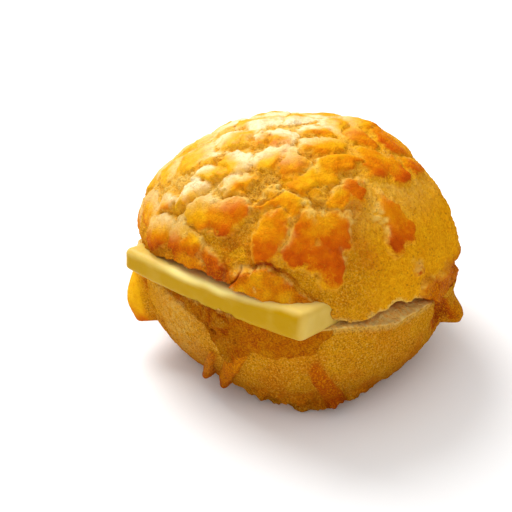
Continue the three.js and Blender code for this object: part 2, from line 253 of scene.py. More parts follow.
# Noises, each a sum of parts: size, scale in millimetres and seed
NOISES = {
    "ragged": [(0.9, 4.5, 71), (0.6, 1.9, 72)],
    "fray": [(0.9, 6, 3), (0.8, 2.4, 4), (0.4, 1.1, 5)],
    "flap_bearing": [(3, 6, 31)],
    "flap_edge": [(1.4, 4, 32), (0.6, 1.5, 33)],
    "crack": [(1, 5, 8)],
    "strip": [(0.4, 3, 7)],
    "notch": [(0.4, 3, 9)],
    "patches": [(1, 4.5, 23)],
    "sheet_bearing": [(2, 5, 131)],
    "sheet_edge": [(0.9, 3.2, 135), (0.4, 1.4, 136)],
    "crease": [(0.5, 3, 109)],
    "drip": [(0.35, 2.5, 141)],
    "hollow": [(3, 6, 171), (2, 2.5, 172)],
    "base": [(0.5, 3, 123)],
    "butter_top": [(0.15, 6, 205)],
    "butter": [(0.08, 4, 203)],
}
# Noises that fray the plates' outlines, in the same way
OUTLINE_NOISE = [(0.02, 11, 40), (0.026, 5, 50), (0.014, 2, 60)]
# Layered or creased noises: scale in millimetres, layers and seed
LAYERS = {
    "crown_lumps": (7, 2, 11),
    "wrinkles": (2.2, 2, 14),
    "crown_grain": (1.2, 2, 15),
    "crust": (4.4, 3, 17),
    "facets": (7, 2, 24),
    "stain": (13, 2, 27),
    "heel_lumps": (8, 2, 111),
    "streaks": (3, 2, 112),
    "heel_grain": (1.3, 2, 115),
    "toast": (9, 3, 127),
    "foot": (4, 2, 151),
    "flakes": (4, 3, 161),
    "butter": (14, 2, 201),
}
# Draws noise out into upright streaks
UPRIGHT = np.array([1, 1, 0.35])
# Pores in torn crumb: scale in millimetres and seed
CROWN_PORES = (2.4, 21)
HEEL_PORES = (2.2, 121)
TORN = Values(pores=0.5, level=0.3, grain=0.2)

# Spans over which a share goes from 0 to 1
# Those that end in _left are of minus the bearing, and those that end in _low of minus the rise
SPANS = {
    # The bun's skin, by distance from it and by how squarely it faces out
    "skin_off": (1.6, 2.4), "skin_facing": (0.15, 0.45),
    # Stretches of the crown, by bearing and rise
    "scaly_left": (68, 84), "scaly_rise": (28, 48),
    "calm_start": (-25, 5), "calm_end": (110, 150),
    "lobes_left": (74, 84), "lobes_top": (20, 28),
    "far_left": (114, 128), "past_left": (165, 178), "far_top": (48, 62),
    "edge_left": (66, 80), "edge_end": (-150, -125), "edge_top": (2, 11),
    "corner_start": (-5, 1), "corner_end": (28, 62), "corner_top": (3, 9),
    "gold_left": (62, 84), "gold_rise": (16, 28),
    "shade_left": (66, 90), "shade_top": (20, 42),
    "bare_end": (-30, -10), "front_end": (-34, -12), "right_edge": (22, 34), "high_valley": (22, 40),
    # The flap, by bearing, by depth below its edge and by its facets
    "flap_thins": (-64, -46), "crack_fades": (-58, -46), "flap_rim": (-75, -63),
    "on_flap": (0, 1), "flap_cracks": (0.04, 0.16),
    # Plates, by how far up on them, and by millimetres inside their edge
    "lower_half": (0, 0.9), "upper_half": (-0.2, 0.6), "lip": (0, 0.6), "highlight_up": (-0.3, 0.4),
    "loose": (0.2, 1.8), "highlight_edge": (0.2, 1.6), "valley": (-1.5, 0.3), "front_edge": (-0.8, 1),
    # The lit side, by how squarely it is faced
    "lit": (0.5, 0.9), "highlight_facing": (0.42, 0.8),
    # The slit's upper face and the crown's edge, in millimetres, and stains, by noise
    "slit_depth": (8, 14), "edge_crumbs": (0.2, 1.4), "stain": (0, 0.7),
    # The heel, by bearing and rise
    "torn_end": (-78, -64), "heel_left": (90, 104), "right_end": (4, 12), "fold_inner": (2, 6),
    "heel_low": (4, 34), "drip_low": (22, 34), "pale_low": (22, 32),
    # Shares of the heel's forms and noises
    "left_fold": (0.1, 0.5), "right_fold": (0.1, 0.4), "face_up": (0.3, 0.7), "toast": (-0.5, 0.6),
    "hollow_glaze": (0.05, 0.7), "hollow_tone": (0.1, 0.8),
    "flake_gaps": (0.15, 0.45), "flake_tops": (0.5, 0.9),
    # The heel, in millimetres
    "sheet_deep": (3, 9), "heel_foot": (1, 4), "heel_rim": (0.15, 0.7), "rim_crumbs": (0.4, 2.6),
    "rough_cut": (34, 42), "rough_base": (0.2, 1.5), "crumb_reach": (42, 47),
    # The butter, in shares of its half sizes
    "butter_top": (0.35, 0.9), "butter_end": (0.93, 1), "butter_foot": (0.86, 1),
    "pale_start": (-0.65, -0.3), "pale_end": (0.4, 0.7),
}
# Bands along an edge: middle and spread in millimetres
BANDS = {
    "crack": (-1, 1),
    "strip": (0, 1.3),
    "notch": (0, 1.8),
    "lip": (0.6, 0.5),
    "flap_rim": (0.6, 0.6),
}
# Values that noise moves: middle, size of the change, least and most
VARIED = {
    "crack": (0.75, 0.9, 0, 1),
    "plate_glaze": (0.85, 0.4, 0, 1),
    "corner_glaze": (1.1, 0.3, 0, 1.2),
    "flap_glaze": (1.1, 0.4, 0.6, 1.35),
    "frost": (0.9, 0.3, 0, 1),
    "rim": (0.55, 0.6, 0, 1),
    "valley": (0.7, 0.5, 0, 1),
    "flap_rim": (0.2, 0.6, 0, 1),
    "foot": (0.4, 1.3, 0, 1.3),
    "heel_glaze": (1.25, 0.4, 0, 1.35),
    "pale": (0.32, 0.4, 0, 1),
}


# Noise

# Odd factors and shifts that scramble the numbers of a cell
HASH_AXES = (374761393, 668265263, 2246822519)
HASH_SEED = 3266489917
HASH_ROUNDS = ((15, 2654435761), (13, 1274126177))
HASH_SHIFT = 16


def smoothstep(value, low, high):
    t = np.clip((value - low) / (high - low), 0, 1)
    return t * t * (3 - 2 * t)


def span(name, value):
    return smoothstep(value, *SPANS[name])


def bell(value, spread):
    return np.exp(-((value / spread) ** 2))


def band(name, value):
    middle, spread = BANDS[name]
    return bell(value - middle, spread)


def varied(name, noise):
    middle, size, low, high = VARIED[name]
    return np.clip(middle + size * noise, low, high)


def blend(first, second, share):
    return first * (1 - share) + share * second


def hash_cell(cell, seed):
    """A number from 0 to 1 for each cell of a lattice."""
    mixed = cell.astype(np.uint32) * np.array(HASH_AXES, np.uint32)
    mixed = mixed.sum(axis=1, dtype=np.uint32) + np.uint32(seed * HASH_SEED % 2**32)
    for shift, factor in HASH_ROUNDS:
        mixed = (mixed ^ (mixed >> np.uint32(shift))) * np.uint32(factor)
    return (mixed ^ (mixed >> np.uint32(HASH_SHIFT))) / 2**32


def soft_noise(points, scale, seed):
    """Smooth noise from -1 to 1 whose lumps are about scale wide."""
    place = points / scale
    cell = np.floor(place).astype(np.int64)
    part = place - cell
    part = part**3 * (part * (part * 6 - 15) + 10)
    total = np.zeros(len(points))
    for corner in np.ndindex(2, 2, 2):
        weight = np.prod(np.where(np.array(corner) == 1, part, 1 - part), axis=1)
        total += weight * hash_cell(cell + np.array(corner), seed)
    return 2 * total - 1


def noise_sum(name, points):
    total = np.zeros(len(points))
    for size, scale, seed in NOISES[name]:
        total += size * soft_noise(points, scale, seed)
    return total


def layered_noise(name, points, creased=False):
    """Smooth noise with finer noise on it, or lumps from 0 up that meet in sharp creases."""
    scale, layers, seed = LAYERS[name]
    total = np.zeros(len(points))
    for layer in range(layers):
        noise = soft_noise(points, scale / 2**layer, seed + layer)
        total += (np.abs(noise) if creased else noise) / 2**layer
    return total


def cell_noise(points, scale, seed):
    """Distances to the nearest and the next of one point in every cell, in cells."""
    place = points / scale
    cell = np.floor(place).astype(np.int64)
    nearest = np.full(len(points), FAR_AWAY, float)
    following = nearest.copy()
    for step in np.ndindex(3, 3, 3):
        other = cell + np.array(step) - 1
        spot = np.stack([hash_cell(other, seed + axis) for axis in range(3)], axis=1)
        distance = np.linalg.norm(other + spot - place, axis=1)
        following = np.minimum(following, np.maximum(nearest, distance))
        nearest = np.minimum(nearest, distance)
    return nearest, following


# Form of the bun


def direction_of(bearing, rise):
    b = math.radians(bearing)
    r = math.radians(rise)
    return np.array([math.cos(r) * math.cos(b), math.cos(r) * math.sin(b), math.sin(r)])


def bearing_of(directions):
    return np.degrees(np.arctan2(directions[:, 1], directions[:, 0]))


def rise_of(directions):
    return np.degrees(np.arctan2(directions[:, 2], np.hypot(directions[:, 0], directions[:, 1])))


def turn_between(start, end):
    return (end - start + 180) % 360 - 180


def wave_sum(waves, x, y, z):
    total = 0
    for turns, phase, size in waves:
        total = total + size * np.sin(turns[0] * x + turns[1] * y + turns[2] * z + phase)
    return total


def dough_radius(directions):
    off_mouth = turn_between(DOUGH.mouth_bearing, bearing_of(directions))
    plan = DOUGH.radius * (1 - DOUGH.mouth_flat * bell(off_mouth, DOUGH.mouth_spread))
    above = directions[:, 2] > 0
    power = np.where(above, DOUGH.crown_power, DOUGH.heel_power)
    depth = np.where(above, DOUGH.height - DOUGH.waist, DOUGH.heel_depth)
    across = (np.hypot(directions[:, 0], directions[:, 1]) / plan) ** power
    along = (np.abs(directions[:, 2]) / depth) ** power
    radius = (across + along) ** (-1 / power) + wave_sum(LUMP_WAVES, *directions.T)
    for bearing, rise, spread, size in BULGES:
        turn = np.degrees(np.arccos(np.clip(directions @ direction_of(bearing, rise), -1, 1)))
        radius = radius + size * bell(turn, spread)
    return radius


def blob_from(bearing, rise, wide, tall, turn, tone):
    middle = direction_of(bearing, rise)
    east = direction_of(bearing + 90, 0)
    return Values(
        middle=middle,
        east=east,
        north=np.cross(middle, east),
        radius=dough_radius(middle[None])[0],
        wide=wide,
        tall=tall,
        turn=math.radians(turn),
        tone=tone,
    )


def blob_places(blob, directions):
    """Places on a blob, across and up, where its edge is at a distance of 1."""
    ahead = directions @ blob.middle
    x = directions @ blob.east / ahead * blob.radius
    y = directions @ blob.north / ahead * blob.radius
    cos = math.cos(blob.turn)
    sin = math.sin(blob.turn)
    return (x * cos + y * sin) / blob.wide, (y * cos - x * sin) / blob.tall


def in_smooth_patch(direction):
    for bearing, rise, half_width, half_height in SMOOTH_PATCHES:
        across = turn_between(bearing, bearing_of(direction)) / half_width
        up = (rise_of(direction) - rise) / half_height
        if np.hypot(across, up)[0] < 1:
            return True
    return False


def covered(plates, direction):
    for blob in [blob for plate in plates for blob in plate]:
        if (direction @ blob.middle)[0] > PLATE_REACH:
            if np.hypot(*blob_places(blob, direction))[0] < SCALES.overlap:
                return True
    return False


def spread_evenly(index, step, low, high):
    return low + (high - low) * ((0.5 + index * step) % 1)


def scale_plates(taken):
    """Small plates over the rest of the crown, spread by a golden-angle spiral."""
    plates = []
    for i in range(SCALES.count):
        rise = math.degrees(math.asin(1 - (2 * i + 1) / SCALES.count))
        bearing = math.degrees(i * GOLDEN_ANGLE)
        direction = direction_of(bearing, rise)[None]
        if rise < SCALES.lowest_rise or covered(taken, direction) or in_smooth_patch(direction):
            continue
        wide = spread_evenly(i, EVEN_STEPS.wide, *SCALES.wide)
        tall = spread_evenly(i, EVEN_STEPS.tall, *SCALES.tall)
        turn = spread_evenly(i, EVEN_STEPS.turn, -SCALES.turn, SCALES.turn)
        tone = spread_evenly(i, EVEN_STEPS.wide + EVEN_STEPS.turn, *SCALES.tone)
        plates.append([blob_from(bearing, rise, wide, tall, turn, tone)])
    return plates


def bent_outline(directions):
    """Directions moved a little, so that plates have uneven, crumbly outlines."""
    bends = [wave_sum(waves, *directions.T) for waves in OUTLINE_WAVES]
    bent = directions + np.stack(bends, axis=1)
    skin = directions * DOUGH.radius
    for axis in range(3):
        for size, scale, seed in OUTLINE_NOISE:
            bent[:, axis] += size * soft_noise(skin, scale, seed + axis)
    return bent / np.linalg.norm(bent, axis=1)[:, None]


def plate_field(plates, directions):
    """For each direction, the nearest plate: how far inside its edge and its crack, in millimetres."""
    count = len(directions)
    nearest = np.full(count, FAR_AWAY, float)
    following = nearest.copy()
    owner = np.full(count, -1)
    up = np.zeros(count)
    tone = np.zeros(count)
    total = np.full(count, TINY)
    size = np.ones(count)
    for index, plate in enumerate(plates):
        for blob in plate:
            near = np.nonzero(directions @ blob.middle > PLATE_REACH)[0]
            across, along = blob_places(blob, directions[near])
            distance = np.hypot(across, along)
            first = distance < nearest[near]
            other = owner[near] != index
            passed = np.where(first, nearest[near], distance)
            following[near] = np.where(other, np.minimum(following[near], passed), following[near])
            here = near[first]
            nearest[here] = distance[first]
            owner[here] = index
            size[here] = (blob.wide + blob.tall) / 2
            weight = bell(distance, BLOB_BLEND)
            up[near] += weight * along
            tone[near] += weight * blob.tone
            total[near] += weight
    return Values(
        edge=np.minimum(1 - nearest, (following - nearest) / 2) * size,
        up=np.clip(up / total, -MOST_UP, MOST_UP),
        tone=tone / total,
        size=size,
    )


def layer_height(directions):
    edge = TOPPING.skirt_rise + wave_sum(SKIRT_WAVES, np.radians(bearing_of(directions)), 0, 0)
    return TOPPING.layer * smoothstep(rise_of(directions), edge, edge + TOPPING.skirt_soft)


def route_distance(route, directions):
    """Millimetres from each direction to a route of bearings and rises."""
    bearing = bearing_of(directions)
    rise = rise_of(directions)
    best = np.full(len(directions), FAR_AWAY, float)
    for (start, start_rise), (end, end_rise) in zip(route, route[1:]):
        squeeze = math.cos(math.radians((start_rise + end_rise) / 2)) * SKIN_DEGREE
        x = turn_between(start, bearing) * squeeze
        y = (rise - start_rise) * SKIN_DEGREE
        line = np.array([turn_between(start, end) * squeeze, (end_rise - start_rise) * SKIN_DEGREE])
        share = np.clip((x * line[0] + y * line[1]) / (line @ line), 0, 1)
        best = np.minimum(best, np.hypot(x - share * line[0], y - share * line[1]))
    return best


def rise_along(edge, bearing, past):
    """The rise of an edge at each bearing, and another value past its ends."""
    bearings, rises = zip(*edge)
    return np.interp(bearing, bearings, rises, left=past, right=past)


# Slit


def slit_height(x, y):
    return SLIT.height - y * math.tan(math.radians(SLIT.slope)) + wave_sum(SLIT_WAVES, x, y, 0)


def droop(x, y):
    bearing = np.degrees(np.arctan2(y, x))
    total = np.zeros_like(x)
    for middle, spread, depth in DROOPS:
        total += depth * bell(turn_between(middle, bearing), spread)
    return total * smoothstep(np.hypot(x, y), *DROOP_REACH)


def heel_top(x, y):
    """The slit's lower face, which slopes down where the rim is broken."""
    bearing = np.degrees(np.arctan2(y, x))
    slope = BEVEL.depth * bell(turn_between(BEVEL.bearing, bearing), BEVEL.spread)
    return slit_height(x, y) - slope * smoothstep(np.hypot(x, y), *BEVEL.reach)


def ragged(x, y):
    """Crumbly steps in the crown's lower edge."""
    points = np.stack([x, y, np.zeros_like(x)], axis=1)
    reach = smoothstep(np.hypot(x, y), *DROOP_REACH)
    return reach * noise_sum("ragged", points)


HINGE = np.array([0, SLIT.hinge, float(slit_height(0, SLIT.hinge))])
OPENING = np.array(Matrix.Rotation(-math.radians(SLIT.opening), 3, "X"))


def opened(points):
    return (points - HINGE) @ OPENING.T + HINGE


def closed(points):
    return (points - HINGE) @ OPENING + HINGE


def unmoved(points):
    return points


# Meshes


def add_object(name, mesh):
    obj = bpy.data.objects.new(name, mesh)
    bpy.context.scene.collection.objects.link(obj)
    return obj


def object_from(name, points, faces):
    mesh = bpy.data.meshes.new(name)
    mesh.from_pydata((np.asarray(points) * MM).tolist(), [], faces)
    mesh.update()
    return add_object(name, mesh)


def ball(steps):
    """Points and faces of a unit ball of even triangles."""
    shape = bmesh.new()
    bmesh.ops.create_icosphere(shape, subdivisions=steps, radius=1)
    points = np.array([v.co for v in shape.verts])
    faces = [[v.index for v in face.verts] for face in shape.faces]
    shape.free()
    return points / np.linalg.norm(points, axis=1)[:, None], faces


def read_vectors(items, key):
    flat = np.empty(len(items) * 3, np.float32)
    items.foreach_get(key, flat)
    return flat.reshape(-1, 3).astype(float)


def store_points(mesh, points):
    mesh.vertices.foreach_set("co", (points * MM).astype(np.float32).ravel())
    mesh.update()


def store_fields(mesh, fields):
    for name, values in fields.items():
        attribute = mesh.attributes.new(name, "FLOAT", "POINT")
        attribute.data.foreach_set("value", values.astype(np.float32))


def modify(obj, kind, **settings):
    """Adds a modifier and applies it to the mesh."""
    modifier = obj.modifiers.new(kind.lower(), kind)
    for name, value in settings.items():
        setattr(modifier, name, value)
    depsgraph = bpy.context.evaluated_depsgraph_get()
    made = bpy.data.meshes.new_from_object(obj.evaluated_get(depsgraph))
    old = obj.data
    obj.modifiers.clear()
    obj.data = made
    bpy.data.meshes.remove(old)


def cut_away(obj, tool):
    """Cuts with a tool, which is then removed."""
    modify(obj, "BOOLEAN", operation="DIFFERENCE", solver="MANIFOLD", object=tool)
    mesh = tool.data
    bpy.data.objects.remove(tool)
    bpy.data.meshes.remove(mesh)


def finish_mesh(obj, grain, shape):
    """Remeshes evenly, shapes the surface, and thins it out if it has too many triangles."""
    modify(obj, "REMESH", mode="VOXEL", voxel_size=grain * MM)
    shape(obj.data)
    obj.data.calc_loop_triangles()
    triangles = len(obj.data.loop_triangles)
    if triangles > MOST_TRIANGLES:
        modify(obj, "DECIMATE", ratio=MOST_TRIANGLES / triangles)
    obj.data.shade_smooth()


def slit_tool(side, height_at, place):
    """A block whose bottom or top face follows the slit."""
    count = int(TOOL_SIZE / SLIT_STEP) + 1
    line = np.linspace(-TOOL_SIZE / 2, TOOL_SIZE / 2, count)
    x, y = (grid.ravel() for grid in np.meshgrid(line, line, indexing="ij"))
    face = np.stack([x, y, height_at(x, y)], axis=1)
    far = np.stack([x, y, np.full_like(x, side * TOOL_SIZE)], axis=1)
    index = np.arange(count * count).reshape(count, count)
    corners = [index[:-1, :-1], index[1:, :-1], index[1:, 1:], index[:-1, 1:]]
    quads = np.stack([corner.ravel() for corner in corners], axis=1)
    rim = np.concatenate([index[:-1, 0], index[-1, :-1], index[:0:-1, -1], index[0, :0:-1]])
    walls = np.stack([rim, np.roll(rim, -1)], axis=1)
    walls = np.concatenate([walls[:, ::-1], walls + count * count], axis=1)
    faces = np.concatenate([quads, quads[:, ::-1] + count * count, walls])
    if side > 0:
        faces = faces[:, ::-1]
    return object_from("slit", place(np.concatenate([face, far])), faces.tolist())


# Butter


def butter_place(points):
    """Puts a flat slab, whose front bottom edge has its middle at the origin, into the slit."""
    along = points[:, 0] / (BUTTER.length / 2)
    points = points - (1 - along**2)[:, None] * np.array([0, BUTTER.bow, BUTTER.sag])
    points[:, 2] += BUTTER.taper * along * points[:, 2] - BUTTER.sink
    turn = np.array(Matrix.Rotation(-math.radians(BUTTER.tilt), 3, "X"))
    front = BUTTER.front_y
    foot = np.array([BUTTER.centre_x, front, float(slit_height(0, front)) + BUTTER.gap])
    return points @ turn.T + foot


def rounded_slab(grow, step):
    """Points and faces of the slab with round edges, grown on every side."""
    half = np.array([BUTTER.length, BUTTER.width, BUTTER.thick]) / 2 + grow
    shape = bmesh.new()
    bmesh.ops.create_cube(shape, size=2)
    bmesh.ops.scale(shape, vec=Vector(half), verts=shape.verts)
    for axis in range(3):
        steps = int(2 * half[axis] / step)
        across = Vector([float(axis == other) for other in range(3)])
        for i in range(1, steps):
            whole = shape.verts[:] + shape.edges[:] + shape.faces[:]
            spot = across * (-half[axis] + 2 * half[axis] * i / steps)
            bmesh.ops.bisect_plane(shape, geom=whole, plane_co=spot, plane_no=across)
    shape.verts.index_update()
    points = np.array([v.co for v in shape.verts])
    faces = [[v.index for v in face.verts] for face in shape.faces]
    shape.free()
    inner = np.clip(points, -(half - BUTTER_ROUND), half - BUTTER_ROUND)
    out = points - inner
    length = np.linalg.norm(out, axis=1)[:, None]
    points = np.where(length > 0, inner + out / np.maximum(length, TINY) * BUTTER_ROUND, points)
    return points + np.array([0, BUTTER.width / 2, BUTTER.thick / 2]), faces


def butter_tool():
    points, faces = rounded_slab(SLOT_GAP, SLOT_STEP)
    return object_from("slot", butter_place(points), faces)


# Crown

# How plates rise from their edge, and what the stretches of the crown change in that
FLAT = Values(foot=-0.2, slope=0.3, limits=(0.9, 1.8))
DOME = Values(foot=-0.6, slope=0.6, height=1.3, power=0.7, share=0.6, calm=0.45, lobes=0.8)
TILT = Values(scaly=0.25, lobes=0.1)
FAR_LEFT = Values(flatter=0.55, less_frost=0.6)
SCALY = Values(wider=0.7, fewer_wrinkles=0.7, less_crust=0.5)
CRACK_FADE = 0.5
# Heights of the small forms, in millimetres, and the levels that they swing about
CROWN_HEIGHTS = Values(
    lumps=0.3,
    wrinkles=0.25,
    grain=0.05,
    loose_grain=0.28,
    lip=0.25,
    crust=0.6,
    calm_crust=0.35,
    loose_crust=0.6,
    strip=1.2,
    crack=2,
    notch=2.6,
    flap_facets=1.1,
    lobe_facets=0.8,
    scaly_facets=0.5,
)
CRUST_LEVEL = 0.5
FACET_LEVEL = 0.4
# Amounts that make up the fields of the crown's colours
GLAZE = Values(full=1.35, fade=2, lower_fade=1.8, lit_bare=0.8, stain=0.55, low_left=0.5)
TONE = Values(
    tilt=0.15,
    scaly_tilt=0.2,
    lumps=0.12,
    lit=0.3,
    gold=0.2,
    frost=0.8,
    flap_patches=0.3,
    low_left=0.35,
    crack=0.5,
    cut=0.9,
)
CORNER = Values(wander=3, tone=0.55, patches=0.15)
RIM = Values(
    middle=0.5,
    spread=0.6,
    upper_spread=0.6,
    lower=0.25,
    upper=0.75,
    calm=0.6,
    lit_valley=0.65,
    high_valley=0.3,
    flap_cracks=0.6,
    right_edge=0.7,
    low_left=0.5,
)
RIGHT_EDGE_BEARING = -20
CRUMB_WANDER = 0.8
HIGHLIGHT_LUMPS = 0.3
CROWN_SHADE = Values(left=0.12, front=0.38, low_left=0.3, flap=0.25, corner=0.45)
CROWN_SHINE = Values(glaze=0.01, lit=0.05, lit_glaze=0.1)

BIG_PLATES = [[blob_from(*blob) for blob in plate] for plate in CROWN_PLATES]
ALL_PLATES = BIG_PLATES + scale_plates(BIG_PLATES)


def flap_depth(directions, skin):
    """Millimetres below the flap's upper edge."""
    bearing = bearing_of(directions) + noise_sum("flap_bearing", skin)
    below = rise_along(FLAP_EDGE, bearing, -FAR_AWAY) - rise_of(directions)
    return below * SKIN_DEGREE + noise_sum("flap_edge", skin)


def crown_zones(directions):
    """How much each direction belongs to each stretch of the crown, from 0 to 1."""
    bearing = bearing_of(directions)
    rise = rise_of(directions)
    far_left = span("far_left", -bearing) * (1 - span("past_left", -bearing))
    return Values(
        scaly=np.maximum(span("scaly_rise", rise), span("scaly_left", -bearing)),
        calm=span("calm_start", bearing) * (1 - span("calm_end", bearing)),
        lobes=span("lobes_left", -bearing) * (1 - span("lobes_top", rise)),
        far_left=far_left * (1 - span("far_top", rise)),
    )


def plate_body(field, edge, zones):
    """How far plates stand up: flat at the front, domed and tilted where they lie like scales."""
    scaly = zones.scaly
    lobes = zones.lobes
    flat = smoothstep(edge, FLAT.foot, np.clip(FLAT.slope * field.size, *FLAT.limits))
    domed = smoothstep(edge, DOME.foot, DOME.slope * field.size) ** DOME.power
    domed = DOME.height * domed * (1 - DOME.calm * zones.calm)
    body = flat + (domed - flat) * DOME.share * scaly * (1 - DOME.lobes * lobes)
    body *= 1 - (TILT.scaly * scaly + TILT.lobes * lobes) * np.clip(field.up, -1, 1)
    return body * (1 - FAR_LEFT.flatter * zones.far_left)


def crown_form(directions):
    """The topping's height over the dough, and the fields that its colours come from."""
    skin = directions * DOUGH.radius
    bearing = bearing_of(directions)
    zones = crown_zones(directions)
    scaly = zones.scaly
    calm = zones.calm
    lobes = zones.lobes
    field = plate_field(ALL_PLATES, bent_outline(directions))
    edge = field.edge + noise_sum("fray", skin) + SCALY.wider * scaly
    loose = 1 - span("loose", edge)
    flap = flap_depth(directions, skin)
    crack = band("crack", flap) * (1 - CRACK_FADE * span("crack_fades", bearing))
    crack *= varied("crack", noise_sum("crack", skin))
    strip = band("strip", route_distance(STRIP, directions) + noise_sum("strip", skin))
    notch = band("notch", route_distance(NOTCH, directions) + noise_sum("notch", skin))
    lip = band("lip", edge) * span("lip", field.up)
    lumps = layered_noise("crown_lumps", skin)
    wrinkles = layered_noise("wrinkles", skin * UPRIGHT)
    grain = layered_noise("crown_grain", skin)
    crust = layered_noise("crust", skin, creased=True)
    facets = layered_noise("facets", skin, creased=True)

    high = CROWN_HEIGHTS
    flap_thick = FLAP.thick + (FLAP.thin - FLAP.thick) * span("flap_thins", bearing)
    flap_height = flap_thick * smoothstep(flap, 0, FLAP.soft)
    plate_height = TOPPING.plate * plate_body(field, edge, zones)
    relief = layer_height(directions) + np.maximum(plate_height, flap_height)
    small = high.lumps * lumps
    small += high.wrinkles * (1 - loose) * (1 - SCALY.fewer_wrinkles * scaly) * wrinkles
    small += (high.grain + high.loose_grain * loose) * grain
    relief += small + high.lip * lip
    crust_height = high.crust - high.calm_crust * calm + high.loose_crust * loose * (1 - calm)
    relief += crust_height * (1 - SCALY.less_crust * scaly) * (crust - CRUST_LEVEL)
    relief += high.strip * strip - high.crack * crack - high.notch * notch
    shards = high.lobe_facets * lobes + high.scaly_facets * scaly * (1 - lobes) * (1 - calm)
    shards = high.flap_facets * span("on_flap", flap) + shards * (1 - loose)
    relief += shards * (FACET_LEVEL - facets)
    return Values(
        relief=relief,
        edge=edge,
        up=field.up,
        tone=field.tone,
        lumps=lumps,
        grain=grain,
        facets=facets,
        crack=crack,
        flap=flap,
        **vars(zones),
    )


def at_radius(directions, radius):
    return MIDDLE + directions * radius[:, None]


def base_ball(name, form, place):
    directions, faces = ball(BALL_STEPS)
    radius = dough_radius(directions) + form(directions).relief
    return object_from(name, place(at_radius(directions, radius)), faces)


def surface_share(points, normals, radius):
    """How much each point belongs to the bun's outer surface, from 0 to 1."""
    out = points - MIDDLE
    distance = np.linalg.norm(out, axis=1)
    facing = np.sum(normals * out, axis=1) / distance
    return (1 - span("skin_off", np.abs(distance - radius))) * span("skin_facing", facing)


def torn_crumb(points, grain, pores):
    """How far torn crumb stands out, in millimetres."""
    return TORN.pores * cell_noise(points, *pores)[0] - TORN.level + TORN.grain * grain


def crown_edge(x, y):
    return slit_height(x, y) - droop(x, y) + ragged(x, y)


def crown_object():
    crown = base_ball("bun_crown", crown_form, opened)
    cut_away(crown, slit_tool(-1, crown_edge, opened))
    cut_away(crown, butter_tool())
    finish_mesh(crown, CROWN_GRAIN, shape_crown)
    return crown


def shape_crown(mesh):
    """Gives the crown its crisp plates, cracks and crumbs, and the fields that its material reads."""
    normals = read_vectors(mesh.vertex_normals, "vector") @ OPENING
    points = closed(read_vectors(mesh.vertices, "co") / MM)
    distance = np.linalg.norm(points - MIDDLE, axis=1)
    directions = (points - MIDDLE) / distance[:, None]
    form = crown_form(directions)
    radius = dough_radius(directions) + form.relief
    share = surface_share(points, normals, radius)
    open_cut = (1 - share) * (1 - span("slit_depth", radius - distance))
    moved = points + normals * (open_cut * torn_crumb(points, form.grain, CROWN_PORES))[:, None]
    moved += share[:, None] * (at_radius(directions, radius) - points)
    store_points(mesh, opened(moved))
    store_fields(mesh, crown_fields(form, points, directions, share))


